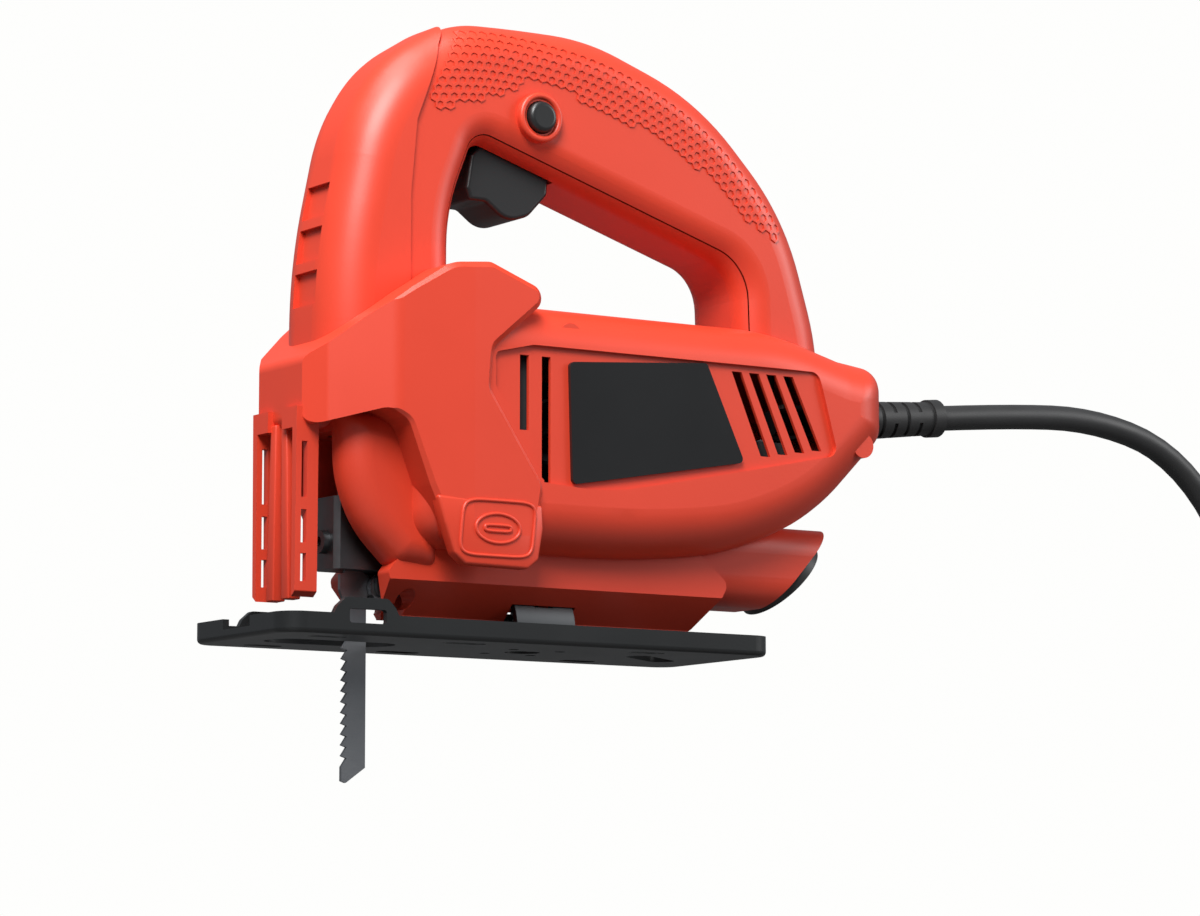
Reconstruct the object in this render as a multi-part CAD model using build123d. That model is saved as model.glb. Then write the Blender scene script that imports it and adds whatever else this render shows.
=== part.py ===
"""Compact mains jigsaw: clamshell housing, motor, gear, plunger, blade, tilting shoe and cord.

Millimetres. +X runs to the rear, where the cord leaves, -X to the front, where the legs are.
+Y is the tool's right side and +Z is up. The origin lies on the sole plane, on the blade's axis.
"""

import os
from math import cos, pi, radians, sin, tan

from build123d import *

# ---------------------------------------------------------------- driving dimensions
WALL = 2.5                    # plastic wall
HANDLE_HALF = 17.0            # half widths across Y
BARREL_HALF = 29.5
SHIELD_HALF = 31.5
NOSE_HALF = 20.0
SKIRT_HALF = 17.0
PORT_HALF = 15.0
COLUMN_STEP = 1.2             # how far the front column stands proud of the grip

SHOE_FRONT, SHOE_REAR = -37.0, 129.5
SHOE_HALF = 29.0
SHOE_THICK = 2.0
SHOE_RIM = 6.0                # height of the turned-up edge
TILT_Z = 6.0                  # height of the tilt axis above the sole
TILT_RADIUS = 13.5            # outer radius of the bracket's half pipe

MOTOR_Z = 60.0                # motor axis, along X
MODULE = 0.7
PINION_TEETH, GEAR_TEETH = 10, 56
GEAR_Z = MOTOR_Z + MODULE * (PINION_TEETH + GEAR_TEETH) / 2
STROKE = 16.0
ROD_RADIUS = 4.0
CLAMP_LOW, CLAMP_HIGH = 21.0, 42.0

TRIGGER_HALF = 9.0
BUTTON_X, BUTTON_Z = 53.0, 157.0
BUTTON_RADIUS = 4.7

CORD_RADIUS = 4.0
GUARD_START = (172.5, 77.1)   # x and z of the guard's thick end
GUARD_END = (213.0, 81.0)
FLOOR_Z = -110.0
HANK_CENTRE = (242.0, 0.0)    # oval of put-away turns
HANK_RUN = 20.0               # half length of its straight sides
HANK_RADIUS = 32.0            # middle of the turns at its round ends
HANK_WIDE, HANK_HIGH = 24.0, 16.0
TIE_THICK = 1.0

HOUSING_SCREWS = [(8, 160), (105, 157), (143, 113), (164, 66), (58, 91), (26, 44)]


# ---------------------------------------------------------------- helpers
def corner_arc(before, corner, after):
    """Start, middle and end of the arc that rounds one corner of an outline."""
    here = Vector(*corner[:2])
    back = Vector(*before[:2]) - here
    ahead = Vector(*after[:2]) - here
    half = radians(back.get_angle(ahead)) / 2
    if len(corner) > 2:
        reach = corner[2] / tan(half)
    else:
        reach = 0.45 * min(back.length, ahead.length)
    radius = reach * tan(half)
    inward = (back.normalized() + ahead.normalized()).normalized()
    middle = here + inward * (radius / sin(half) - radius)
    return here + back.normalized() * reach, middle, here + ahead.normalized() * reach


def outline(corners, plane=Plane.XZ):
    """Flat face from its corners, each (x, z) or (x, z, radius).

    A corner with no radius is as round as its two sides allow.
    """
    count = len(corners)
    arcs = [corner_arc(corners[i - 1], corners[i], corners[(i + 1) % count]) for i in range(count)]
    edges = []
    for i, (start, middle, end) in enumerate(arcs):
        if (start - end).length > 0.01:
            edges.append(ThreePointArc(start, middle, end))
        edges.append(Line(end, arcs[(i + 1) % count][0]))
    return plane * Face(Wire([piece.edge() for piece in edges]))


def rim_edges(solid, half):
    """Edges that lie on the two side faces at Y = +half and Y = -half."""
    return [edge for edge in solid.edges() if abs(abs(edge.center().Y) - half) < 0.01
            and abs(edge.bounding_box().size.Y) < 0.01]


def slab(corners, half, round_by=0.0, inset=0.0, chamfer_by=0.0):
    """Outline carried to both sides of the middle plane, with rounded or bevelled rims."""
    face = outline(corners)
    if inset:
        face = offset(face, -inset, kind=Kind.ARC).face()
    half = half - inset
    solid = extrude(face, half, both=True)
    if round_by:
        solid = fillet(rim_edges(solid, half), max(round_by - inset, 0.8))
    if chamfer_by:
        solid = chamfer(rim_edges(solid, half), chamfer_by)
    return solid


def rod_x(radius, low, high, y=0.0, z=MOTOR_Z):
    """Round bar along X."""
    return Pos((low + high) / 2, y, z) * Rot(0, 90, 0) * Cylinder(radius, high - low)


def rod_y(radius, low, high, x, z):
    """Round bar along Y."""
    return Pos(x, (low + high) / 2, z) * Rot(90, 0, 0) * Cylinder(radius, high - low)


def rod_z(radius, low, high, x=0.0, y=0.0):
    """Round bar along Z."""
    return Pos(x, y, (low + high) / 2) * Cylinder(radius, high - low)


def block(low, high):
    """Box between two opposite corners."""
    size = [b - a for a, b in zip(low, high)]
    middle = [(a + b) / 2 for a, b in zip(low, high)]
    return Pos(*middle) * Box(*size)


def save(name, shape):
    """Write one node."""
    export_step(shape, f"parts/{name}.step")


# ---------------------------------------------------------------- housing outlines
LOOP = [(-15, 62, 4), (-15, 110), (-6.5, 151), (5, 170), (28, 184.6), (48, 185.4), (75, 185.4),
        (115, 171.5), (147.6, 138.6), (160, 98), (160, 72, 10)]
FINGER_HOLE = [(25.5, 92, 3), (25.5, 127), (34, 149, 4), (127.5, 119, 13), (128.5, 92, 3)]
COLUMN_FRONT = [(-40, 50, 0), (-40, 200, 0), (26, 200, 0), (26, 186, 0), (20, 176, 0), (11, 152, 0),
                (9, 130, 0), (9, 50, 0)]
BARREL = [(8, 27, 10), (8, 100, 3), (134, 100), (160, 93, 4), (175.5, 91, 6), (175.5, 69, 6),
          (150, 43.5), (120, 31), (84, 27)]
SHIELD = [(-23.5, 60, 3), (-23.5, 80, 4), (-9, 92, 20), (3, 100.5, 20), (16, 108.8, 12), (29, 110, 5),
          (50, 102, 4), (30, 85, 4), (29, 73, 4), (47, 46, 5), (44, 29, 4), (16, 29, 4),
          (9, 44, 8), (2, 62, 5), (-4, 65.5, 5)]
SHIELD_PLAN = [(-24, -12, 2), (-24, 12, 2), (-19, 20, 3), (-2, 30.5, 8), (60, 33, 0), (60, -33, 0),
               (-2, -30.5, 8), (-19, -20, 3)]
NOSE = [(-12.5, 66, 2), (-12, 46), (-6, 32), (5, 21.5, 6), (20, 20, 2), (20, 66, 2)]
SKIRT = [(3, 20, 2), (5, 8, 1), (113, 8, 2), (121, 22, 3), (108, 33, 3), (12, 31, 2)]
PORT = [(96, 16.3, 12), (190, 16.3, 12), (190, 41.5, 12), (96, 41.5, 12)]
PORT_FACE = (150.0, 28.0)     # middle of the oblique outlet, x and z
PORT_TILT = 42.0              # degrees the outlet looks down from +X
PORT_BORE, PORT_DEEP = 12.5, 9.0
POCKET = [(31, 84, 2), (31, 74, 3), (47.5, 47, 4), (70, 45.5), (104, 52), (153, 62, 3), (146, 87, 3),
          (44, 87, 3)]
BADGE = [(56.5, 83, 1.5), (105, 86.5, 1.5), (118.5, 57.5, 1.5), (57.5, 47, 1.5)]


def grip_loop(inset=0.0, grow=0.0):
    """Handle ring: front column, grip and rear pillar round the finger hole."""
    ring = slab(LOOP, HANDLE_HALF, 12.0, inset - grow)
    hole = extrude(outline(FINGER_HOLE), HANDLE_HALF + 5, both=True)
    if inset:
        hole = extrude(offset(outline(FINGER_HOLE), inset, kind=Kind.ARC).face(), HANDLE_HALF + 5, both=True)
        return ring - hole
    ring = ring - hole
    rims = [e for e in rim_edges(ring, HANDLE_HALF + grow)
            if 24 < e.center().X < 130 and 91 < e.center().Z < 150]
    return fillet(rims, 9.0)


def front_column():
    """The column that stands a step proud of the grip and ends in the hood at the top."""
    proud = slab(LOOP, HANDLE_HALF, 12.0, -COLUMN_STEP)
    return proud & extrude(outline(COLUMN_FRONT), 40, both=True)


def skirt():
    """Foot under the motor, cut back at 45 degrees so that the shoe can tilt under it."""
    body = slab(SKIRT, SKIRT_HALF)
    for side in (-1, 1):
        wedge = [(side * 7.5, 0, 0), (side * 40, 0, 0), (side * 40, 40.8, 0), (side * 7.5, 8.3, 0)]
        body -= Pos(60, 0, 0) * extrude(outline(wedge, Plane.YZ), 80, both=True)
    return body


def legs():
    """Two front legs, each with a row of narrow slots."""
    both = []
    for side in (-1, 1):
        leg = [(side * 4, 66, 0), (side * 13, 66, 0), (side * 12.5, 13.2, 0.5), (side * 9.5, 11, 0.5),
               (side * 6, 11, 0.5)]
        bar = Pos(-21.6, 0, 0) * extrude(outline(leg, Plane.YZ), 3.6, both=True)
        for low, high in ((16, 24), (27, 36.5), (40, 56)):
            bar -= block((-23.4, side * 8 - 8, low), (-21.6, side * 8 + 8, high))
        both.append(bar)
    return both[0] + both[1]


def column_steps():
    """Shallow steps down the front of the column, as a cutter."""
    rim = extrude(offset(outline(LOOP), 3, kind=Kind.ARC).face(), 6.5, both=True)
    rim -= extrude(offset(outline(LOOP), -0.4, kind=Kind.ARC).face(), 8, both=True)
    steps = rim & block((-40, -10, 97), (0, 10, 107))
    for low in (110, 123):
        steps += rim & block((-40, -10, low), (0, 10, low + 10))
    return steps


def port_frame():
    """Plane on the oblique dust outlet, looking out of it."""
    out = (cos(radians(PORT_TILT)), 0, -sin(radians(PORT_TILT)))
    return Plane(origin=(PORT_FACE[0], 0, PORT_FACE[1]), x_dir=(0, 1, 0), z_dir=out)


def dust_port():
    """Lobe under the rear of the motor, cut off obliquely where the hose fits."""
    reach = block((113, -40, 0), (170, 40, 60)) - port_frame() * Pos(0, 0, 50) * Box(100, 100, 100)
    return slab(PORT, PORT_HALF, 9.0) & reach


def outer_form():
    """Solid outer form of the two housing halves together."""
    form = grip_loop() + front_column() + slab(BARREL, BARREL_HALF, 14.0)
    plan = extrude(outline(SHIELD_PLAN, Plane.XY), 200, both=True)
    form += slab(SHIELD, SHIELD_HALF, chamfer_by=1.8) & plan
    form += slab(NOSE, NOSE_HALF, 8.0) + dust_port() + skirt() + legs()
    form += rod_y(7.5, -18.6, -12, BUTTON_X, BUTTON_Z)
    return form - column_steps()


def hollow():
    """Space inside the housing halves."""
    room = grip_loop(WALL) + slab(BARREL, BARREL_HALF, 14.0, WALL)
    case = [(-13, 66, 1), (-13, 86, 2), (3, 96.5), (17, 105, 3), (28, 107, 3), (46, 100.5, 2), (46, 66, 1)]
    room += slab(case, 26.0, 6.0)
    return room


def vents(side):
    """Upright slots in front of the badge and slanted slots behind it."""
    cuts = []
    for x in (41.5, 49.0):
        cuts.append(block((x - 1.5, 0, 47 if x > 45 else 62), (x + 1.5, 40, 84)))
    for i in range(4):
        x = 116.5 + 6.3 * i
        slot = [(x - 1.8, 85, 0), (x + 1.8, 85, 0), (x + 12.3, 60 + i, 0), (x + 8.7, 60 + i, 0)]
        cuts.append(Pos(0, 20, 0) * extrude(outline(slot), 20, both=True))
    together = cuts[0]
    for cut in cuts[1:]:
        together += cut
    return together if side > 0 else mirror(together, Plane.XZ)


def housing():
    """Both housing halves, with every opening cut and every boss added."""
    shell = outer_form() - hollow()
    for side in (-1, 1):
        pocket = extrude(outline(POCKET), 3, both=True)
        shell -= Pos(0, side * (BARREL_HALF + 1.6), 0) * pocket
        shell -= vents(side)
    shell -= block((-30, -10.5, -1), (13, 10.5, 60))
    shell -= rod_z(7.0, 59, 67)
    trigger_gap = [(33.6, 140, 0), (62.9, 128, 0), (62.9, 156, 0), (35.4, 158, 0)]
    shell -= extrude(outline(trigger_gap), TRIGGER_HALF + 0.5, both=True)
    shell -= rod_y(BUTTON_RADIUS + 0.3, -25, -8, BUTTON_X, BUTTON_Z)
    shell -= Pos(58.5, 0, TILT_Z) * Rot(0, 90, 0) * Cylinder(TILT_RADIUS + 0.4, 22)
    shell -= rod_z(2.5, 14, 27, 58.5)
    shell -= port_frame() * Cylinder(PORT_BORE, 2 * PORT_DEEP)
    shell -= guard_frame() * Pos(0, 0, 5) * Cylinder(6.5, 16)
    shell -= guard_frame() * Pos(0, 0, -3) * Cylinder(8.3, 6.2)
    shell -= dust_bore(4.25)
    shell -= rod_x(3.2, 8, 20, z=33)
    shell -= block((0, -4.7, -1), (28.1, 4.7, 27.1))
    shell -= rod_y(3.0, -30, 30, 11.5, 12.5)
    for x, z in HOUSING_SCREWS:
        depth = HANDLE_HALF if z > 100 else BARREL_HALF
        shell += rod_y(3.8, -depth + 2, depth - 2, x, z)
        shell -= rod_y(1.5, -10, 40, x, z)
        shell -= rod_y(3.3, depth - 6, 40, x, z)
    return shell


def guard_frame():
    """Plane at the thick end of the cord guard, looking along it."""
    run = Vector(GUARD_END[0] - GUARD_START[0], 0, GUARD_END[1] - GUARD_START[1])
    return Plane(origin=(GUARD_START[0], 0, GUARD_START[1]), x_dir=(0, 1, 0), z_dir=run)


def dust_bore(radius):
    """Round bar along the dust tube's way from the blade to the outlet."""
    path = FilletPolyline((18, 0, 33), (60, 0, 32.8), (116, 0, 33.6), (150, 0, 39), radius=60)
    return sweep(Plane(path @ 0, z_dir=path % 0) * Circle(radius), path=path)


def half(shell, side):
    """One side of the housing."""
    keep = block((-100, 0, -100), (300, 100, 300))
    if side < 0:
        keep = mirror(keep, Plane.XZ)
    return shell & keep


def save_housing():
    """Housing halves, screws and badges."""
    shell = housing()
    save("housing_left", half(shell, -1))
    save("housing_right", half(shell, 1))
    screws = []
    for x, z in HOUSING_SCREWS:
        depth = HANDLE_HALF if z > 100 else BARREL_HALF
        screws.append(rod_y(1.5, -10, depth - 5, x, z) + rod_y(3.0, depth - 6, depth - 3.4, x, z))
    save("housing_screws", Compound(screws))
    plate = extrude(outline(BADGE), 0.6, both=True)
    for name, side in (("badge_left", -1), ("badge_right", 1)):
        save(name, Pos(0, side * (BARREL_HALF - 1.4 + 0.6), 0) * plate)


# ---------------------------------------------------------------- trigger and switch
TRIGGER = [(33.2, 135.5, 2), (34.8, 145.5, 1), (38, 149, 1), (60.5, 145, 1), (62, 142, 1), (61.5, 136, 2),
           (55, 129, 6), (47.5, 126.5, 8), (40, 132, 3), (34.5, 132, 1)]
SWITCH_LOW = 162.0
STEM_TOP = 154.5


def save_trigger():
    """Trigger, its return spring, the lock-on button and the switch body."""
    trigger = slab(TRIGGER, TRIGGER_HALF, 1.2)
    trigger += block((39, -TRIGGER_HALF + 1, 140), (57, TRIGGER_HALF - 1, STEM_TOP))
    save("trigger", trigger)
    turns = Helix(pitch=1.8, height=SWITCH_LOW - STEM_TOP - 0.8, radius=2.6)
    wire = sweep(Plane(turns @ 0, z_dir=turns % 0) * Circle(0.35), path=turns)
    save("trigger_spring", Pos(48, 0, STEM_TOP + 0.4) * wire)
    button = rod_y(BUTTON_RADIUS, -20.8, -11.5, BUTTON_X, BUTTON_Z)
    save("lock_button", fillet(button.edges().sort_by(Axis.Y)[0], 1.5))
    body = block((38, -8, SWITCH_LOW), (74, 8, 176))
    save("switch_body", chamfer(body.edges().filter_by(Axis.Y), 1.5))
    save("capacitor", fillet(block((9, -8, 126), (21, 8, 144)).edges(), 1.5))
    wires = []
    for y in (-4, 4):
        path = FilletPolyline((152, y, 84), (151, y, 112), (140, y, 138), (113, y, 160), (92, y, 168),
                              (74, y, 168), radius=12)
        wires.append(sweep(Plane(path @ 0, z_dir=path % 0) * Circle(0.9), path=path))
    save("switch_wires", Compound([wire.solid() for wire in wires]))


# ---------------------------------------------------------------- motor
STATOR_RADIUS, STATOR_LOW, STATOR_HIGH = 25.0, 74.0, 112.0
SHAFT_RADIUS = 3.5
ARMATURE_RADIUS = 14.5


def gear(teeth, width, bore):
    """Spur gear with straight-sided teeth, on the XY plane."""
    pitch = MODULE * teeth / 2
    root, tip = pitch - 1.25 * MODULE, pitch + 0.95 * MODULE
    step = 2 * pi / teeth
    points = []
    for i in range(teeth):
        for radius, turn in ((root, -0.27), (tip, -0.11), (tip, 0.11), (root, 0.27)):
            angle = step * (i + turn)
            points.append((radius * cos(angle), radius * sin(angle)))
    wheel = extrude(make_face(Polyline(*points, close=True)), width)
    return wheel - Cylinder(bore, 4 * width)


def along_x(shape, x, z, turn=0.0):
    """Stand a shape made along Z on the X axis at height z, turned about its own axis."""
    return Pos(x, 0, z) * Rot(0, 90, 0) * Rot(0, 0, turn) * shape


def ring_x(outer, inner, low, high, z=MOTOR_Z):
    """Round tube along X."""
    return rod_x(outer, low, high, z=z) - rod_x(inner, low - 1, high + 1, z=z)


def save_motor():
    """Stator, armature, fan, commutator, brushes and bearings on the motor's axis."""
    stator = ring_x(STATOR_RADIUS, 21.0, STATOR_LOW, STATOR_HIGH)
    pole = rod_x(21.0, STATOR_LOW, STATOR_HIGH) - rod_x(ARMATURE_RADIUS + 0.5, 0, 200)
    for side in (-1, 1):
        middle = MOTOR_Z + side * 12
        stator += pole & block((STATOR_LOW, -12, middle - 10), (STATOR_HIGH, 12, middle + 10))
    stator &= block((0, -30, MOTOR_Z - 21.5), (200, 30, MOTOR_Z + 21.5))
    save("stator_core", stator)
    coils = []
    for low in (STATOR_LOW - 7, STATOR_HIGH + 0.1):
        loop = ring_x(20.5, 15.6, low, low + 6.9)
        for side in (-1, 1):
            middle = MOTOR_Z + side * 15
            coils.append(loop & block((0, -17, middle - 11), (200, 17, middle + 11)))
    save("stator_coils", Compound(coils))

    shaft = rod_x(SHAFT_RADIUS, 38.5, 153) + rod_x(1.6, 27.5, 38.5)
    save("armature_shaft", shaft)
    core = ring_x(ARMATURE_RADIUS, SHAFT_RADIUS, STATOR_LOW, STATOR_HIGH)
    for i in range(12):
        slot = Rot(30 * i, 0, 0) * block((0, -0.9, 10.5), (200, 0.9, 20))
        core -= Pos(0, 0, MOTOR_Z) * slot
    save("armature_core", core)
    windings = []
    for low in (STATOR_LOW - 6, STATOR_HIGH):
        bundle = fillet(rod_x(13.0, low, low + 6).edges().filter_by(GeomType.CIRCLE), 2.0)
        windings.append(bundle - rod_x(SHAFT_RADIUS, 0, 200))
    save("armature_windings", Compound(windings))
    commutator = ring_x(9.5, SHAFT_RADIUS, 124, 138) + ring_x(11.2, SHAFT_RADIUS, 122, 124)
    for i in range(24):
        commutator -= Pos(0, 0, MOTOR_Z) * Rot(15 * i, 0, 0) * block((125, -0.2, 8.7), (139, 0.2, 12))
    save("commutator", commutator)
    fan = ring_x(21.5, SHAFT_RADIUS, 60, 61.5) + ring_x(7.0, SHAFT_RADIUS, 54, 60)
    for i in range(14):
        blade = Rot(360 / 14 * i, 0, 0) * Pos(57, 0, 14.2) * Rot(0, 0, 24) * Box(6.4, 1.1, 14.6)
        fan += Pos(0, 0, MOTOR_Z) * blade
    save("cooling_fan", fan & rod_x(21.5, 53.6, 61.5))

    save("front_motor_bearing", ring_x(9.5, SHAFT_RADIUS, 41, 47))
    save("rear_motor_bearing", ring_x(9.5, SHAFT_RADIUS, 145, 151))
    plate = block((38.6, -24, 38.5), (47, 24, 94)) - rod_x(9.5, 41, 60) - rod_x(6, 30, 60)
    plate -= rod_x(ROD_RADIUS, 30, 60, z=GEAR_Z)
    for y, z in ((-20, 43), (20, 43), (-20, 88), (20, 88)):
        plate -= rod_x(2.2, 30, 60, y, z)
    save("bearing_plate", chamfer(plate.edges().filter_by(Axis.X).filter_by(
        lambda e: e.geom_type == GeomType.LINE), 3))

    holders, brushes, springs = [], [], []
    for side in (-1, 1):
        holder = block((126.5, 11.5, MOTOR_Z - 5), (136.5, 25, MOTOR_Z + 5))
        holder -= block((128.3, 0, MOTOR_Z - 3.2), (134.7, 24, MOTOR_Z + 3.2))
        brush = block((128.5, 9.6, MOTOR_Z - 3), (134.5, 19, MOTOR_Z + 3)) - rod_x(9.7, 100, 150)
        coil = rod_y(2.2, 19, 24, 131.5, MOTOR_Z) - rod_y(1.5, 18.9, 24.1, 131.5, MOTOR_Z)
        for store, piece in ((holders, holder), (brushes, brush), (springs, coil)):
            store.append(piece if side > 0 else mirror(piece, Plane.XZ))
    save("brush_holders", Compound(holders))
    save("carbon_brushes", Compound(brushes))
    save("brush_springs", Compound(springs))


# ---------------------------------------------------------------- gear train and plunger
GEAR_LOW, GEAR_WIDE = 28.0, 6.0
PIN_RADIUS = 3.0


def save_drive():
    """Pinion, gear, eccentric pin and counterweight."""
    save("pinion_gear", along_x(gear(PINION_TEETH, GEAR_WIDE, 1.6), GEAR_LOW, MOTOR_Z, 18))
    wheel = gear(GEAR_TEETH, GEAR_WIDE, 4.05) - Pos(0, 0, GEAR_WIDE) * (Cylinder(16, 3) - Cylinder(7, 3))
    save("drive_gear", along_x(wheel, GEAR_LOW, GEAR_Z, 0))
    save("gear_axle", rod_x(ROD_RADIUS, 26, 47, z=GEAR_Z))
    pin_z = GEAR_Z - STROKE / 2
    save("eccentric_pin", rod_x(PIN_RADIUS - 1, 8.3, GEAR_LOW, z=pin_z))
    save("pin_roller", ring_x(PIN_RADIUS, PIN_RADIUS - 1, 9, 13, z=pin_z))
    weight = rod_x(17, 24.5, GEAR_LOW, z=GEAR_Z) - rod_x(5, 20, 30, z=GEAR_Z)
    save("counterweight", weight & block((0, -20, GEAR_Z + 1), (100, 20, GEAR_Z + 40)))


BLADE_FRONT, BLADE_BACK, BLADE_TIP = -2.8, 5.0, -40.0
BLADE_HALF = 0.6
TOOTH_PITCH = 3.1


def saw_blade():
    """T-shank wood blade with its teeth facing forward."""
    middle = (BLADE_FRONT + BLADE_BACK) / 2
    points = [(middle - 3.1, 36), (middle - 3.1, 20.5), (middle - 4.8, 20), (middle - 4.8, 15.5),
              (BLADE_FRONT, 13)]
    z = 8.0
    while z > BLADE_TIP + 6:
        points += [(BLADE_FRONT, z), (BLADE_FRONT + 1.7, z - 0.6),
                   (BLADE_FRONT + 0.3, z - TOOTH_PITCH + 0.4)]
        z -= TOOTH_PITCH
    points += [(BLADE_FRONT, z), (BLADE_FRONT, BLADE_TIP + 0.5), (BLADE_FRONT + 1.5, BLADE_TIP),
               (BLADE_BACK, BLADE_TIP + 4.5), (BLADE_BACK, 13), (middle + 4.8, 15.5), (middle + 4.8, 20),
               (middle + 3.1, 20.5), (middle + 3.1, 36)]
    corners = [(x, z, 0) for x, z in points]
    return extrude(outline(corners), BLADE_HALF, both=True)


def save_plunger():
    """Everything that goes up and down with the blade, and the bushes that guide it."""
    blade = saw_blade()
    save("saw_blade", blade)
    rod = rod_z(ROD_RADIUS, 37, 122)
    rod -= block((-10, -10, 71), (10, -2.6, 81)) + block((-10, 2.6, 71), (10, 10, 81))
    save("plunger_rod", rod)
    yoke = block((4.5, -15, GEAR_Z - 8 - 6.5), (8, 15, GEAR_Z - 8 + 6.5))
    yoke = chamfer(yoke.edges().filter_by(Axis.X), 1.2)
    yoke -= block((0, -12, GEAR_Z - 8 - 3.1), (20, 12, GEAR_Z - 8 + 3.1))
    yoke += block((-3.5, -4.6, 69.5), (4.6, -2.6, 80.5)) + block((-3.5, 2.6, 69.5), (4.6, 4.6, 80.5))
    yoke -= rod_z(ROD_RADIUS, 60, 71) + rod_z(ROD_RADIUS, 81, 90)
    save("yoke_plate", yoke)
    clamp = block((-8.5, -6.5, CLAMP_LOW), (8, 6.5, CLAMP_HIGH))
    clamp = chamfer(clamp.edges().filter_by(Axis.Z), 1.5)
    clamp -= rod_z(ROD_RADIUS, 37, 50) + blade + rod_x(2.0, -20, -2, z=29)
    save("blade_clamp", clamp)
    screw = rod_x(2.0, -9, -3.0, z=29) + rod_x(3.4, -10.6, -8.5, z=29)
    screw -= rod_x(1.5, -12, -9.2, z=29)
    save("clamp_screw", screw)
    lower = rod_z(7.0, 60.5, 66.8) - rod_z(ROD_RADIUS + 0.05, 50, 80)
    save("lower_bush", lower)
    upper = block((-6, -12.8, 112), (9, 12.8, 120)) - rod_z(ROD_RADIUS + 0.05, 100, 130)
    save("upper_bush", upper)


# ---------------------------------------------------------------- guide roller
ROLLER_X, ROLLER_Z, ROLLER_RADIUS = 9.35, 16.5, 4.2


def save_roller():
    """Grooved roller behind the blade, on a pin in a steel fork under the nose."""
    roller = rod_y(ROLLER_RADIUS, -3, 3, ROLLER_X, ROLLER_Z) - rod_y(1.55, -9, 9, ROLLER_X, ROLLER_Z)
    groove = rod_y(ROLLER_RADIUS + 1, -0.8, 0.8, ROLLER_X, ROLLER_Z)
    groove -= rod_y(ROLLER_RADIUS - 1, -2, 2, ROLLER_X, ROLLER_Z)
    save("guide_roller", roller - groove)
    save("roller_pin", rod_y(1.5, -5.5, 5.5, ROLLER_X, ROLLER_Z))
    side = [(ROLLER_X - 3, ROLLER_Z - 3, 2.5), (ROLLER_X + 4, ROLLER_Z - 3, 2), (21, 24, 1), (28, 24, 0),
            (28, 27, 0), (15, 27, 1), (ROLLER_X - 3, ROLLER_Z + 3, 2.5)]
    fork = extrude(outline(side), 4.6, both=True)
    fork -= block((0, -3.2, 0), (15.5, 3.2, 40)) + rod_y(1.5, -9, 9, ROLLER_X, ROLLER_Z)
    save("roller_bracket", fork)


# ---------------------------------------------------------------- shoe
BRACKET_LOW, BRACKET_HIGH = 48.5, 68.5
HUMP = [(-22, 5, 0), (-20.5, 8, 2), (-17.5, 10.6, 2), (-4, 10.6, 2), (-1.5, 8, 2), (0, 5, 0)]


HUMP_WINDOW = [(-16.5, 3.4, 0.8), (-16.5, 7.4, 0.8), (-4.5, 7.4, 0.8), (-4.5, 3.4, 0.8)]


def rounded_plate(inset, low, high, corner=7.0):
    """Rectangle of the shoe's outline with round corners, between two heights."""
    long = SHOE_REAR - SHOE_FRONT - 2 * inset
    plan = RectangleRounded(long, 2 * (SHOE_HALF - inset), corner - min(inset, 4))
    return Pos((SHOE_REAR + SHOE_FRONT) / 2, 0, low) * extrude(plan, high - low)


def long_slot(low, high, y, half_wide):
    """Slot with round ends along X, as a cutter through the sole."""
    slot = SlotOverall(high - low, 2 * half_wide)
    return Pos((low + high) / 2, y, -5) * extrude(slot, 30)


def save_shoe():
    """Pressed steel shoe with its turned-up edge, the tilt bracket and their screws."""
    plate = rounded_plate(0, 0, SHOE_RIM) - rounded_plate(SHOE_THICK, SHOE_THICK, SHOE_RIM + 1)
    bottom = [e for e in plate.edges() if e.center().Z < 0.01]
    plate = fillet(bottom, 1.4)
    for side in (-1, 1):
        hump = extrude(outline(HUMP), SHOE_THICK / 2, both=True)
        window = extrude(outline(HUMP_WINDOW), 6, both=True)
        plate += Pos(0, side * (SHOE_HALF - SHOE_THICK / 2), 0) * hump
        plate -= Pos(0, side * SHOE_HALF, 0) * window
    plate -= long_slot(-27, 14, 0, 8.0)
    plate -= block((SHOE_FRONT - 5, -8, 3), (SHOE_FRONT + 4, 8, 20))
    for y in (-19, 19):
        plate -= long_slot(-24, -12, y, 2.2) + long_slot(20, 34, y, 2.6) + long_slot(84, 96, y, 2.6)
    plate -= Pos(104, 0, -5) * Rot(0, 0, 35) * extrude(SlotOverall(26, 8), 30)
    plate -= long_slot(53, 64, 0, 4.2)
    for x in (50.5, 66.5):
        for y in (-8.2, 8.2):
            plate -= rod_z(1.6, -1, 5, x, y)
    save("shoe_plate", plate)

    pipe = Pos(0, 0, TILT_Z) * (rod_x(TILT_RADIUS, BRACKET_LOW, BRACKET_HIGH, z=0)
                                - rod_x(TILT_RADIUS - 2, BRACKET_LOW - 1, BRACKET_HIGH + 1, z=0))
    pipe &= block((0, -20, SHOE_THICK), (100, 20, 40))
    pipe += block((BRACKET_LOW, -12.5, SHOE_THICK), (BRACKET_HIGH, -6.5, SHOE_THICK + 1.6))
    pipe += block((BRACKET_LOW, 6.5, SHOE_THICK), (BRACKET_HIGH, 12.5, SHOE_THICK + 1.6))
    pipe -= block((55.3, -11.9, 9), (61.7, 11.9, 40))
    for x in (50.5, 66.5):
        for y in (-8.2, 8.2):
            pipe -= rod_z(1.6, 0, 5, x, y)
    save("shoe_bracket", pipe)
    rivets = [rod_z(1.6, 0.3, 3.6, x, y) + rod_z(2.6, 3.6, 4.8, x, y)
              for x in (50.5, 66.5) for y in (-8.2, 8.2)]
    save("shoe_rivets", Compound(rivets))
    clamp = rod_z(2.5, 13.5, 26.5, 58.5) + rod_z(4.2, 13.3, 16.3, 58.5) - rod_z(2.0, 9, 15.3, 58.5)
    save("shoe_clamp_screw", clamp)


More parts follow.
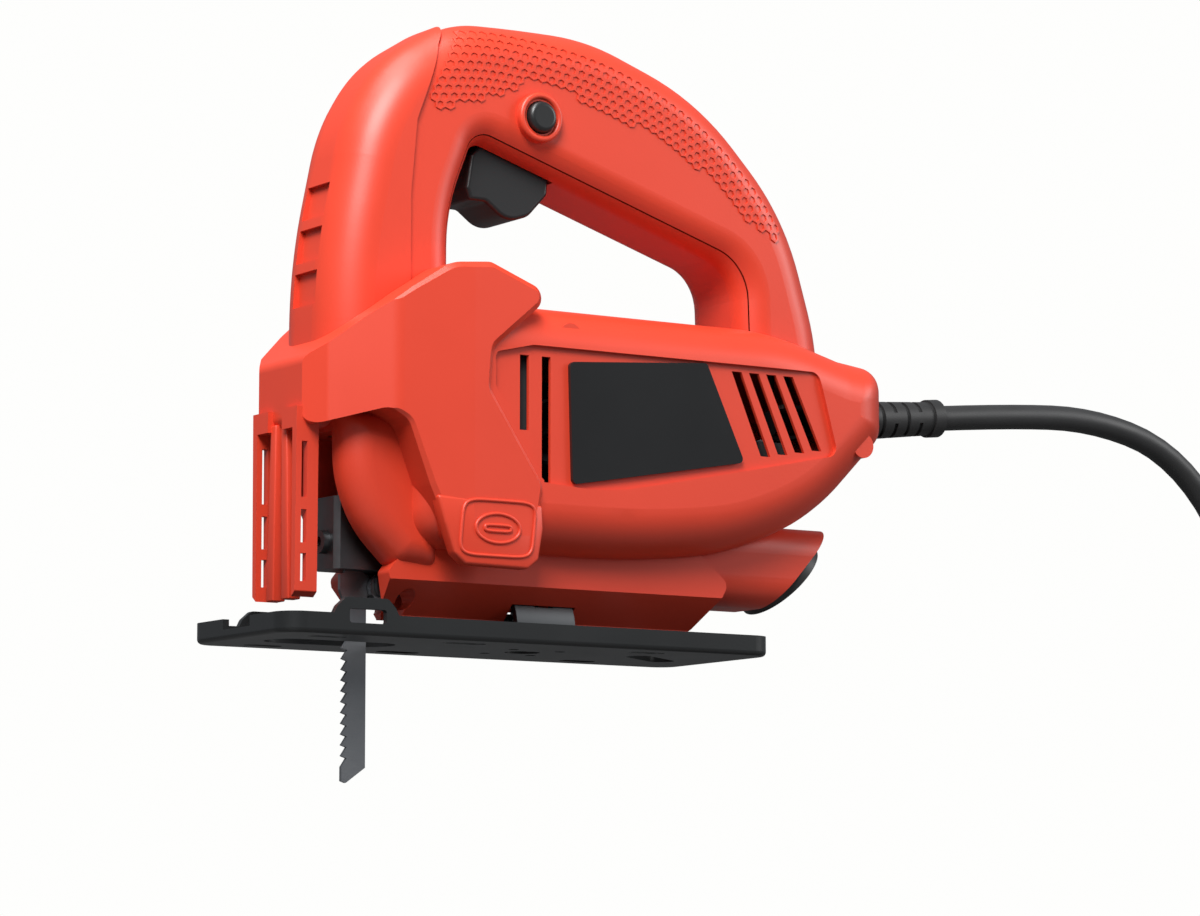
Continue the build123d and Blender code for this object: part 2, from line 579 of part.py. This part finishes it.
# ---------------------------------------------------------------- dust extraction
def save_dust():
    """Rubber ring on the oblique outlet and the tube that leads to it from the blade."""
    ring = port_frame() * (Pos(0, 0, 1.4) * (Cylinder(14.6, 2.8) - Cylinder(PORT_BORE, 4)))
    save("dust_ring", ring)
    mouth = port_frame() * Cylinder(PORT_BORE + 0.3, 2 * PORT_DEEP + 0.6)
    save("dust_tube", dust_bore(4.2) - dust_bore(3.2) - mouth)


# ---------------------------------------------------------------- cord
TAIL_ROUTE = [(242, -40, -97), (270, -40.2, -97.6), (287, -40.7, -100), (302, -41, -101)]
PLUG_LONG, PIN_LONG, PIN_RADIUS_PLUG, PIN_APART = 34.0, 19.0, 2.4, 19.0
CORD_ROUTE = [(213, 0, 81), (243, 0, 84), (277, 0.5, 85.5), (310, 1.5, 78), (335, 2.5, 54), (347, 3, 18),
              (350, 4, -22), (349, 8, -58), (338, 19, -88), (312, 31, -103.2), (285, 38.5, -105.4),
              (262, 40, -105), (242, 40, -105)]


def route_radii(route):
    """Largest even radius at each inner corner of a route."""
    points = [Vector(*p) for p in route]
    radii = []
    for before, here, after in zip(points, points[1:], points[2:]):
        turn = radians((here - before).get_angle(after - here))
        radii.append(0.45 * min((here - before).length, (after - here).length) / tan(turn / 2))
    return radii


def tube_along(route, radius):
    """Round tube along a route of straight runs joined by tangent arcs."""
    radii = route_radii(route)
    print("bend radii, mm:", [round(r) for r in radii])
    path = FilletPolyline(*route, radius=radii)
    tube = sweep(Plane(path @ 0, z_dir=path % 0) * Circle(radius), path=path)
    print("volume over section times length:", round(tube.volume / (pi * radius ** 2 * path.length), 4))
    return tube


def hank_oval(outwards):
    """Filled oval block whose rim lies that far outside the middle of the turns."""
    radius = HANK_RADIUS + outwards
    oval = extrude(SlotOverall(2 * (HANK_RUN + radius), 2 * radius), HANK_HIGH)
    return Pos(*HANK_CENTRE, FLOOR_Z + TIE_THICK) * oval


def save_cord():
    """Cord guard, the lead inside, its clamp, the free cord, the put-away coil, the tie and the plug."""
    length = (Vector(*GUARD_END) - Vector(*GUARD_START)).length
    inner = Cylinder(CORD_RADIUS, 200)
    guard = Pos(0, 0, length / 2) * Cone(6.3, 5.2, length)
    guard += Pos(0, 0, -1.5) * Cylinder(8.0, 3.0) + Pos(0, 0, length - 2) * Cylinder(6.0, 4)
    for i in range(6):
        at = 6 + 5 * i
        groove = Cylinder(9, 1.4) - Cylinder(5.0 - 0.06 * i, 2)
        guard -= Pos(0, 0, at) * (groove - Rot(0, 0, 90 * (i % 2)) * Box(3.4, 30, 3))
    save("cord_guard", guard_frame() * (guard - inner))
    save("inner_lead", guard_frame() * Pos(0, 0, length / 2 - 12) * Cylinder(CORD_RADIUS, length + 24))
    save_clamp()

    coil = hank_oval(HANK_WIDE / 2) - hank_oval(-HANK_WIDE / 2)
    coil = fillet(coil.edges(), 3.9)
    save("cord_coil", coil)
    free = [tube_along(route, CORD_RADIUS) for route in (CORD_ROUTE, TAIL_ROUTE)]
    save("mains_cord", Compound([piece.solid() for piece in free]))
    save_plug(coil)


def save_clamp():
    """Bar that presses the lead down inside the housing, with two screws."""
    bar = Pos(0, 0, -12) * Box(24, 10, 6) - Cylinder(CORD_RADIUS, 80)
    screws = [Pos(side * 9, 0, -12) * Rot(90, 0, 0) * Cylinder(1.5, 13) for side in (-1, 1)]
    save("cord_clamp", guard_frame() * (bar - screws[0] - screws[1]))
    save("cord_clamp_screws", guard_frame() * Compound(screws))


def save_plug(coil):
    """Two-pin plug lying beside the turns, and the tie round them."""
    x, y = HANK_CENTRE
    tie = Box(12, HANK_WIDE + 2 * TIE_THICK, HANK_HIGH + 2 * TIE_THICK) - Box(20, HANK_WIDE, HANK_HIGH)
    tie = Pos(x - 10, y - HANK_RADIUS, FLOOR_Z + TIE_THICK + HANK_HIGH / 2) * tie
    save("cord_tie", tie - coil)
    back, plug_y, axis_z = TAIL_ROUTE[-1]
    face = back + PLUG_LONG
    body = extrude(RectangleRounded(17, 35, 8), PLUG_LONG, taper=5)
    save("plug_body", Pos(face, plug_y, axis_z) * Rot(0, -90, 0) * body)
    pins = [rod_x(PIN_RADIUS_PLUG, face, face + PIN_LONG, plug_y + side * PIN_APART / 2, axis_z)
            for side in (-1, 1)]
    save("plug_pins", Compound(pins))


def main():
    """Write every node of the jigsaw."""
    os.makedirs("parts", exist_ok=True)
    save_housing()
    save_trigger()
    save_motor()
    save_drive()
    save_plunger()
    save_roller()
    save_shoe()
    save_dust()
    save_cord()


if __name__ == "__main__":
    main()
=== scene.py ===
from itertools import product
from math import cos, pi, radians, sin, sqrt

import bmesh
import bpy
from mathutils import Matrix, Vector
from mathutils.bvhtree import BVHTree


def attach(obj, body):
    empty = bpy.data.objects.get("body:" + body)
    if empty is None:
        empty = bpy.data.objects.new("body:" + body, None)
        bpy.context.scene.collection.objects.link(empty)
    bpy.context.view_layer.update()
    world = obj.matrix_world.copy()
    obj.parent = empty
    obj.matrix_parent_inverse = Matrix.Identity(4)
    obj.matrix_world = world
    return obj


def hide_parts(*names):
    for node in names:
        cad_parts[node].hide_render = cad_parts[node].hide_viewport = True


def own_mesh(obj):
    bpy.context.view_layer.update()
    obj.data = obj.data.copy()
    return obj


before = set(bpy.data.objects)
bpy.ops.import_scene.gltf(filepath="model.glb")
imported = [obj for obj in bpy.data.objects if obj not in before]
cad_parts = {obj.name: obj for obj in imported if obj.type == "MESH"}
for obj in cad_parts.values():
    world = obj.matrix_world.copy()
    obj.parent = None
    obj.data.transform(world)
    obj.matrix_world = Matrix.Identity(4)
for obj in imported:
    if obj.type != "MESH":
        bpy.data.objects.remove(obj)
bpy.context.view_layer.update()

MM = 0.001


# Studio: a long lens looks slightly up at the tool's left side from the front quarter,
# over a pale floor, with one big soft lamp in front, one above and a weak one behind.
EYE = (-0.6051, -1.0625, -0.0981)
VIEW_AZIMUTH, VIEW_ELEVATION = -33.04, -7.10
LENS_MM, SENSOR_MM = 127.5, 36
TOOL_MIDDLE = Vector((0.07, 0, 0.09))
FLOOR, FLOOR_HALF = -0.110, 3.0


def back_vector(azimuth, elevation):
    """Unit vector from the tool towards a viewer at that azimuth and elevation, in degrees."""
    a, e = radians(azimuth), radians(elevation)
    return Vector((sin(a) * cos(e), -cos(a) * cos(e), sin(e)))


def soft_lamp(name, azimuth, elevation, distance, size, power):
    """Square lamp that faces the middle of the tool."""
    towards = back_vector(azimuth, elevation)
    lamp = bpy.data.lights.new(name, "AREA")
    lamp.size = size
    lamp.energy = power
    placed = bpy.data.objects.new(name, lamp)
    placed.matrix_world = Matrix.Translation(TOOL_MIDDLE + towards * distance) @ \
        towards.to_track_quat("Z", "Y").to_matrix().to_4x4()
    bpy.context.scene.collection.objects.link(placed)


lens = bpy.data.cameras.new("camera")
lens.lens = LENS_MM
lens.sensor_width = SENSOR_MM
lens.clip_start = 0.05
camera = bpy.data.objects.new("camera", lens)
camera.matrix_world = Matrix.Translation(EYE) @ \
    back_vector(VIEW_AZIMUTH, VIEW_ELEVATION).to_track_quat("Z", "Y").to_matrix().to_4x4()
bpy.context.scene.collection.objects.link(camera)
bpy.context.scene.camera = camera
bpy.context.scene.view_settings.view_transform = "Standard"

# The sky lights the tool softly, and only the camera sees the white backdrop.
world = bpy.data.worlds.new("studio")
world.use_nodes = True
sky = world.node_tree
soft_sky = sky.nodes["Background"]
soft_sky.inputs["Color"].default_value = (0.9, 0.94, 1.0, 1)
soft_sky.inputs["Strength"].default_value = 0.26
backdrop = sky.nodes.new("ShaderNodeBackground")
backdrop.inputs["Color"].default_value = (0.99, 0.99, 0.98, 1)
choice = sky.nodes.new("ShaderNodeMixShader")
sky.links.new(sky.nodes.new("ShaderNodeLightPath").outputs["Is Camera Ray"], choice.inputs[0])
sky.links.new(soft_sky.outputs[0], choice.inputs[1])
sky.links.new(backdrop.outputs[0], choice.inputs[2])
sky.links.new(choice.outputs[0], sky.nodes["World Output"].inputs["Surface"])
bpy.context.scene.world = world
soft_lamp("key_lamp", -42, 42, distance=1.1, size=0.5, power=17)
soft_lamp("top_lamp", -75, 70, distance=1.0, size=0.6, power=7)
soft_lamp("rear_lamp", 60, 20, distance=1.2, size=0.5, power=5)

floor = bpy.data.objects.new("floor", bpy.data.meshes.new("floor"))
sheet = bmesh.new()
bmesh.ops.create_grid(sheet, size=FLOOR_HALF, matrix=Matrix.Translation((0, 0, FLOOR)))
sheet.to_mesh(floor.data)
sheet.free()
grey = bpy.data.materials.new("studio_floor")
grey.use_nodes = True
grey.node_tree.nodes["Principled BSDF"].inputs["Base Color"].default_value = (0.12, 0.12, 0.12, 1)
floor.data.materials.append(grey)
bpy.context.scene.collection.objects.link(floor)


# Shader maths: a socket that adds and multiplies by making Math nodes, and one method
# that makes any other node with its settings and inputs.
class Socket:
    """Output of a node; arithmetic on it adds Math nodes."""

    def __init__(self, graph, end):
        self.graph = graph
        self.end = end

    def maths(self, operation, first, second):
        return self.graph.node("Math", {"operation": operation}, {0: first, 1: second})

    def __add__(self, other):
        return self.maths("ADD", self, other)

    def __mul__(self, other):
        return self.maths("MULTIPLY", self, other)


class Graph:
    """Material with one Principled surface."""

    def __init__(self, name):
        self.material = bpy.data.materials.new(name)
        self.material.use_nodes = True
        self.tree = self.material.node_tree
        self.surface = self.tree.nodes["Principled BSDF"]

    def node(self, kind, settings=None, inputs=None, out=0):
        """Socket of a new node, with its settings made and its inputs fed."""
        made = self.tree.nodes.new("ShaderNode" + kind)
        for key, value in (settings or {}).items():
            setattr(made, key, value)
        for key, value in (inputs or {}).items():
            self.feed(made.inputs[key], value)
        return Socket(self, made.outputs[out])

    def feed(self, entry, value):
        """Link a socket to a node's input, or set the input's own value."""
        if isinstance(value, Socket):
            self.tree.links.new(value.end, entry)
        elif isinstance(value, tuple) and len(value) == 3 and entry.type == "RGBA":
            entry.default_value = (*value, 1)
        else:
            entry.default_value = value

    def surface_with(self, **values):
        """The material, with those inputs of its surface fed."""
        for key, value in values.items():
            self.feed(self.surface.inputs[key.replace("_", " ")], value)
        return self.material

    def place(self):
        """Object coordinates."""
        return self.node("TexCoord", out=3)

    def noise(self, scale, detail=2.0, rough=0.5):
        return self.node("TexNoise", inputs={
            "Vector": self.place(), "Scale": scale, "Detail": detail, "Roughness": rough})

    def bump(self, height, depth, strength):
        return self.node("Bump", inputs={"Height": height, "Distance": depth, "Strength": strength})

    def blend(self, share, low, high):
        """Colour between low and high."""
        return self.node("Mix", {"data_type": "RGBA"}, {0: share, 6: low, 7: high}, out=2)


# Mains cord: two-core rubber lead, 8 mm thick and 1.96 m long. It leaves the guard level,
# droops to the floor beyond the view and is wound there in a tied oval hank that ends in a plug.
CORD_THICK = 8 * MM
HANK_X, HANK_RUN = 242 * MM, 20 * MM
HANK_TURNS, TURN_POINTS = 5.5, 16
OUTER_TURN, TURN_STEP = 40, 8
LOW_LAYER, LAYER_RISE = -105, 8
free_run = [(213, 0, 81), (243, 0, 84), (277, 0.5, 85.5), (310, 1.5, 78), (335, 2.5, 54), (347, 3, 18),
            (350, 4, -22), (349, 8, -58), (338, 19, -88), (312, 31, -103.2), (288, 38.6, -105.4)]
tail_run = [(287, -40.7, -100), (302, -41, -101)]


def eased(turn, start, end):
    """0 before start, 1 after end, and smooth between, for a turn counted from the coil's start."""
    t = min(max((turn - start) / (end - start), 0), 1)
    return t * t * (3 - 2 * t)


def hank_point(turn):
    """Point of the oval hank after that many turns: three turns inwards below, then outwards above."""
    inward = eased(turn, 0.8, 1.02) + eased(turn, 1.8, 2.02)
    outward = eased(turn, 3.8, 4.02) + eased(turn, 4.75, 4.97)
    radius = (OUTER_TURN - TURN_STEP * inward + TURN_STEP * outward) * MM / cos(pi / TURN_POINTS)
    height = LOW_LAYER + LAYER_RISE * eased(turn, 2.75, 3.1)
    angle = 2 * pi * turn + pi / 2
    end = HANK_RUN if cos(angle) > 0 else -HANK_RUN
    return Vector((HANK_X + end + radius * cos(angle), radius * sin(angle), height * MM))


def rubber(name, shade=0.018, rough=0.55, depth=0.00004):
    """Soft black rubber with a faint skin grain and dusty highlights."""
    g = Graph(name)
    cloud = g.noise(60, detail=3)
    grain = g.noise(1800)
    tint = g.blend(cloud, (shade, shade, shade), (shade * 1.5, shade * 1.5, shade * 1.55))
    return g.surface_with(Base_Color=tint, Roughness=cloud * 0.16 + (rough - 0.08),
                          Normal=g.bump(grain, depth, strength=0.6))


def follow(name, points, thick, material):
    """Round lead on a smooth curve through space, with those control points."""
    curve = bpy.data.curves.new(name, "CURVE")
    curve.dimensions = "3D"
    curve.bevel_depth = thick / 2
    curve.bevel_resolution = 5
    curve.resolution_u = 5
    curve.use_fill_caps = True
    spline = curve.splines.new("NURBS")
    spline.points.add(len(points) - 1)
    for spot, point in zip(spline.points, points):
        spot.co = (*point, 1)
    spline.order_u = 3
    spline.use_endpoint_u = True
    piece = bpy.data.objects.new(name, curve)
    curve.materials.append(material)
    bpy.context.scene.collection.objects.link(piece)
    return piece


cord_rubber = rubber("cord_rubber", 0.02, 0.5)
turns = [hank_point((i + 0.5) / TURN_POINTS) for i in range(-1, int(HANK_TURNS * TURN_POINTS) + 1)]
route = [Vector(p) * MM for p in free_run] + turns + [Vector(p) * MM for p in tail_run]
lead = follow("lead", route, CORD_THICK, cord_rubber)
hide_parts("mains_cord", "cord_coil")
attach(lead, "housing")


def wear(material, *nodes):
    """Give CAD nodes a material."""
    for name in nodes:
        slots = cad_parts[name].data.materials
        slots.clear()
        slots.append(material)


wear(rubber("guard_rubber", 0.016, 0.5), "cord_guard", "inner_lead", "dust_ring")
wear(rubber("plug_rubber", 0.02, 0.45), "plug_body")
wear(rubber("tie_rubber", 0.03, 0.6), "cord_tie")


# Housing halves: orange glass-filled nylon with a fine spark-eroded skin, a little mottled,
# moulded as a left and a right shell that meet on the middle plane.
def moulded(name, colour, rough=0.4, mottle=0.06, depth=0.00003, grain=1400):
    """Satin moulded plastic with a spark-eroded skin and faint flow marks."""
    g = Graph(name)
    flow = g.noise(22, detail=3, rough=0.55)
    skin = g.noise(grain)
    darker = tuple(c * (1 - mottle) for c in colour)
    lighter = tuple(min(1, c * (1 + mottle)) for c in colour)
    return g.surface_with(Base_Color=g.blend(flow, darker, lighter), Roughness=flow * 0.1 + (rough - 0.05),
                          Normal=g.bump(skin, depth, strength=0.5))


orange = moulded("orange_nylon", (0.66, 0.050, 0.021))
wear(orange, "housing_left", "housing_right")


# Black plastic pieces: trigger and lock-on button, smooth and slightly glossy from use,
# and the plain mouldings inside.
black = moulded("black_nylon", (0.014, 0.0145, 0.015), rough=0.34, mottle=0.12, depth=0.00002)
wear(black, "trigger", "lock_button", "switch_body", "brush_holders", "cooling_fan", "cord_clamp",
     "dust_tube", "capacitor", "switch_wires")
gloss = moulded("badge_gloss", (0.012, 0.0122, 0.0125), rough=0.2, mottle=0.1, depth=0.000008)
wear(gloss, "badge_left", "badge_right")


# Metal pieces: turned steel, blackened spring steel, zinc-plated screws, copper, bronze and cast alloy.
def metal(name, colour, rough=0.3, streak=0.1, depth=0.00001, stretch=(1, 1, 1), scale=300):
    """Metal with fine scratches drawn out along one way and cloudy roughness."""
    g = Graph(name)
    drawn = g.node("Mapping", inputs={"Vector": g.place(), "Scale": stretch})
    lines = g.node("TexNoise", inputs={"Vector": drawn, "Scale": scale, "Detail": 4.0})
    cloud = g.noise(45, detail=3)
    dull = tuple(c * (1 - streak) for c in colour)
    return g.surface_with(Base_Color=g.blend(cloud, dull, colour), Metallic=1.0,
                          Roughness=lines * 0.18 + cloud * 0.1 + (rough - 0.14),
                          Normal=g.bump(lines, depth, strength=0.5))


turned = metal("turned_steel", (0.56, 0.56, 0.57), 0.28)
dark = metal("blackened_steel", (0.13, 0.135, 0.14), 0.42)
zinc = metal("zinc_plate", (0.6, 0.6, 0.58), 0.33)
copper = metal("enamelled_copper", (0.6, 0.24, 0.1), 0.35)
wear(turned, "armature_shaft", "pinion_gear", "drive_gear", "gear_axle", "eccentric_pin", "pin_roller",
     "front_motor_bearing", "rear_motor_bearing", "plunger_rod", "guide_roller", "roller_pin", "plug_pins")
wear(dark, "blade_clamp", "clamp_screw", "roller_bracket", "yoke_plate", "counterweight", "shoe_bracket")
wear(metal("blade_steel", (0.33, 0.34, 0.355), rough=0.42, streak=0.15, depth=0.00002, stretch=(1, 1, 14),
           scale=240), "saw_blade")
wear(zinc, "housing_screws", "brush_springs", "cord_clamp_screws", "shoe_rivets", "shoe_clamp_screw")
wear(copper, "stator_coils", "armature_windings", "commutator")
wear(metal("lamination_steel", (0.3, 0.31, 0.33), rough=0.4, depth=0.00004, stretch=(40, 1, 1), scale=60),
     "stator_core", "armature_core")
wear(metal("cast_alloy", (0.10, 0.10, 0.105), rough=0.6, streak=0.12, depth=0.00006), "bearing_plate")
wear(metal("sintered_bronze", (0.5, 0.34, 0.16), 0.5), "lower_bush", "upper_bush")
wear(moulded("carbon", (0.03, 0.03, 0.032), 0.6), "carbon_brushes")
wear(moulded("shoe_paint", (0.012, 0.013, 0.0135), rough=0.36, mottle=0.15), "shoe_plate")


# Grip skin: a raised honeycomb web, 0.35 mm proud, over the upper half of the grip on both sides.
# Its rows run along the top of the handle and every cell is a small six-sided dimple.
CAST_FROM, THINNEST = 60 * MM, 5 * MM


def catmull(points, steps):
    """Smooth run of (x, z) points through the given ones."""
    padded = [points[0]] + points + [points[-1]]
    run = []
    for p0, p1, p2, p3 in zip(padded, padded[1:], padded[2:], padded[3:]):
        for i in range(steps):
            t = i / steps
            run.append(tuple(0.5 * (2 * b + (c - a) * t + (2 * a - 5 * b + 4 * c - d) * t * t
                                    + (3 * b - a - 3 * c + d) * t ** 3)
                             for a, b, c, d in zip(p0, p1, p2, p3)))
    return run + [points[-1]]


def tree_of(*nodes):
    """Search tree over the faces of CAD nodes."""
    corners, faces = [], []
    for name in nodes:
        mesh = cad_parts[name].data
        start = len(corners)
        corners += [v.co.copy() for v in mesh.vertices]
        faces += [[start + i for i in p.vertices] for p in mesh.polygons]
    return BVHTree.FromPolygons(corners, faces)


def on_skin(tree, x, z, side, lift):
    """Point that lies that far above the housing's side at (x, z), all in millimetres."""
    hit, normal, _, _ = tree.ray_cast(Vector((x * MM, side * CAST_FROM, z * MM)), Vector((0, -side, 0)))
    if hit is None or abs(hit.y) < THINNEST:
        return None
    if normal.y * side < 0:
        normal = -normal
    return hit + normal * lift * MM


def finished(name, sheet, material):
    """Object from a bmesh that rides the housing."""
    mesh = bpy.data.meshes.new(name)
    sheet.to_mesh(mesh)
    sheet.free()
    mesh.materials.append(material)
    piece = bpy.data.objects.new(name, mesh)
    bpy.context.scene.collection.objects.link(piece)
    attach(piece, "housing")
    return piece


def inside(x, z, corners):
    """Whether (x, z) lies within a closed outline."""
    within = False
    for (x1, z1), (x2, z2) in zip(corners, corners[1:] + corners[:1]):
        if (z1 > z) != (z2 > z) and x < x1 + (z - z1) * (x2 - x1) / (z2 - z1):
            within = not within
    return within


GRIP_TOP = catmull([(-6, 175.5), (18, 179), (43, 180.3), (78, 174.8), (107, 162.5), (129, 145),
                    (142, 129)], 24)
GRIP_AREA = [(15.5, 154), (18, 163), (24.5, 176), (30, 182.5), (43, 182.5), (78, 176.5), (107, 164.5),
             (130, 146), (142, 131), (138, 129), (127, 134.5), (114, 147), (92, 157.5), (72, 163), (64, 166),
             (57, 168.5), (49, 168.5), (43, 164), (30, 160)]
ROWS, COLUMNS, FIRST_CELL = 11, 58, 1.0
CELL_WIDE, CELL_HIGH = 3.4, 2.4
HEXAGON = [(0, 1.6), (1.7, 0.8), (1.7, -0.8), (0, -1.6), (-1.7, -0.8), (-1.7, 0.8)]
CELL_RINGS = ((1.0, 0.35), (0.68, 0.35), (0.6, -0.02))
WEB_SKIRT = 0.6 * MM


def grip_point(along, down):
    """(x, z) at a distance along the top row and a distance below it."""
    for here, ahead in zip(GRIP_TOP, GRIP_TOP[1:]):
        step = sqrt((ahead[0] - here[0]) ** 2 + (ahead[1] - here[1]) ** 2)
        if along <= step or ahead is GRIP_TOP[-1]:
            ux, uz = (ahead[0] - here[0]) / step, (ahead[1] - here[1]) / step
            return here[0] + ux * along + uz * down, here[1] + uz * along - ux * down
        along -= step


shell = tree_of("housing_left", "housing_right")


def grip_web(side):
    """Honeycomb cells on one side of the grip, and the corners that stand proud of it."""
    web = bmesh.new()
    made = {}

    def corner(along, down, lift):
        """One corner, shared with the cells around it."""
        key = (round(along, 2), round(down, 2), lift)
        if key not in made:
            place = on_skin(shell, *grip_point(along, down), side, lift)
            made[key] = web.verts.new(place) if place else None
        return made[key]

    for row, column in product(range(ROWS), range(COLUMNS)):
        along, down = CELL_WIDE * (column + 0.5 * (row % 2)) + FIRST_CELL, CELL_HIGH * row
        if not inside(*grip_point(along, down), GRIP_AREA):
            continue
        rings = [[corner(along + share * a, down + share * d, lift) for a, d in HEXAGON]
                 for share, lift in CELL_RINGS]
        if any(vert is None for ring in rings for vert in ring):
            continue
        for outer, inner in zip(rings, rings[1:]):
            for i in range(6):
                web.faces.new((outer[i], outer[i - 1], inner[i - 1], inner[i]))
    return web, {vert for key, vert in made.items() if vert and key[2] > 0}


for side, label in ((-1, "left"), (1, "right")):
    web, proud = grip_web(side)
    rim = [e for e in web.edges if e.is_boundary and set(e.verts) <= proud]
    skirt = bmesh.ops.extrude_edge_only(web, edges=rim)["geom"]
    for vert in [v for v in skirt if isinstance(v, bmesh.types.BMVert)]:
        vert.co.y -= side * WEB_SKIRT
    bmesh.ops.delete(web, geom=[v for v in web.verts if not v.link_faces], context="VERTS")
    bmesh.ops.recalc_face_normals(web, faces=web.faces)
    if sum(f.normal.y * side for f in web.faces) < 0:
        bmesh.ops.reverse_faces(web, faces=web.faces)
    finished("grip_skin_" + label, web, orange)


# Front cover's lower edge and the legs' inner flanges: orange mouldings that carry the cover's plate
# further down on both sides and close the gap between the two front legs to a narrow slit.
def prism(name, corners, flat, deep, bevel_by):
    """Bevelled prism; flat turns a corner (a, b) and a depth into a place, all in millimetres."""
    form = bmesh.new()
    near, far = [[form.verts.new(Vector(flat(a, b, d)) * MM) for a, b in corners] for d in deep]
    form.faces.new(near)
    form.faces.new(reversed(far))
    for i in range(len(corners)):
        form.faces.new((near[i], near[i - 1], far[i - 1], far[i]))
    bmesh.ops.recalc_face_normals(form, faces=form.faces)
    bmesh.ops.bevel(form, geom=list(form.edges), offset=bevel_by * MM, segments=3, profile=0.5,
                    affect="EDGES")
    for face in form.faces:
        face.smooth = True
    return finished(name, form, orange)


COVER_EDGE = [(10.6, 41), (13.2, 33), (16.4, 24.5), (20, 21.6), (41, 21.2), (44.6, 24), (46.2, 33),
              (45.8, 40)]
EDGE_FACE, EDGE_BACK, EDGE_ROUND = 31.49, 26.8, 0.9
LEG_FLANGE = [(1.6, 62), (4.6, 62), (6.6, 11.4), (2.4, 11.4)]
FLANGE_FRONT, FLANGE_BACK, FLANGE_ROUND = -24.0, -19.9, 0.4
for side, label in ((-1, "left"), (1, "right")):
    prism("cover_edge_" + label, COVER_EDGE, lambda x, z, y: (x, y, z),
          (side * EDGE_FACE, side * EDGE_BACK), EDGE_ROUND)
    prism("leg_flange_" + label, LEG_FLANGE, lambda y, z, x: (x, side * y, z),
          (FLANGE_FRONT, FLANGE_BACK), FLANGE_ROUND)


# Beads on the housing: a rounded rim on the button's boss, and a plain raised frame with an oval
# and a bar in it on the lower left of the front cover.
BEAD_SIDES = 10


def bead(name, path, radius, closed=True, material=orange):
    """Round bead along (point, normal) pairs, which are its middle line."""
    tube = bmesh.new()
    rings = []
    last = len(path) - 1
    for i, (here, up) in enumerate(path):
        before = path[i - 1][0] if i or closed else here
        after = path[(i + 1) % len(path)][0] if i < last or closed else here
        across = (after - before).cross(up).normalized()
        around = [2 * pi * k / BEAD_SIDES for k in range(BEAD_SIDES)]
        rings.append([tube.verts.new(here + (up * cos(a) + across * sin(a)) * radius) for a in around])
    pairs = list(zip(rings, rings[1:] + rings[:1])) if closed else list(zip(rings, rings[1:]))
    for here, ahead in pairs:
        for k in range(BEAD_SIDES):
            tube.faces.new((here[k], here[k - 1], ahead[k - 1], ahead[k]))
    if not closed:
        tube.faces.new(rings[0])
        tube.faces.new(rings[-1])
    bmesh.ops.recalc_face_normals(tube, faces=tube.faces)
    for face in tube.faces:
        face.smooth = True
    return finished(name, tube, material)


def oval(x, z, wide, high, power=1.0, lean=0.0, count=48):
    """Points of an oval; a power under 1 makes it squarer."""
    points = []
    for i in range(count):
        c, s = cos(2 * pi * i / count), sin(2 * pi * i / count)
        across = wide * (abs(c) ** power) * (1 if c > 0 else -1)
        up = high * (abs(s) ** power) * (1 if s > 0 else -1)
        points.append((x + across + lean * up, z + up))
    return points


def ring(points, face):
    """(point, normal) pairs for (x, z) points in millimetres on a flat face of the left side."""
    return [(Vector((x, face, z)) * MM, Vector((0, -1, 0))) for x, z in points]


BUTTON_X, BUTTON_Z, BOSS_FACE = 53, 157, -18.5
bead("button_rim", ring(oval(BUTTON_X, BUTTON_Z, 6.5, 6.5), BOSS_FACE), 1.0 * MM)

EMBLEM = (30.6, 32.4)
COVER_FACE = -31.55
for name, points in (("cover_frame", oval(*EMBLEM, 12.2, 8.0, power=0.35, lean=0.10)),
                     ("cover_oval", oval(*EMBLEM, 7.4, 4.2)),
                     ("cover_bar", oval(*EMBLEM, 4.4, 0.9, power=0.5))):
    bead(name, ring(points, COVER_FACE), 0.5 * MM)


# Trigger spring: a coil of zinc-plated wire, built at its rest length.
# Its top end rests on the switch body and its lower end on the trigger's stem.
SPRING_LOW, SPRING_TOP, SPRING_TURNS, SPRING_STEPS = 154.9, 161.6, 3.7, 74
SPRING_X, SPRING_RADIUS, WIRE_RADIUS = 48, 2.6, 0.35
coil = []
for i in range(SPRING_STEPS + 1):
    angle = 2 * pi * SPRING_TURNS * i / SPRING_STEPS
    height = SPRING_LOW + (SPRING_TOP - SPRING_LOW) * i / SPRING_STEPS
    outwards = Vector((cos(angle), sin(angle), 0))
    coil.append(((Vector((SPRING_X, 0, height)) + outwards * SPRING_RADIUS) * MM, outwards))
spring = bead("return_spring", coil, WIRE_RADIUS * MM, closed=False, material=zinc)
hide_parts("trigger_spring")
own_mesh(spring)
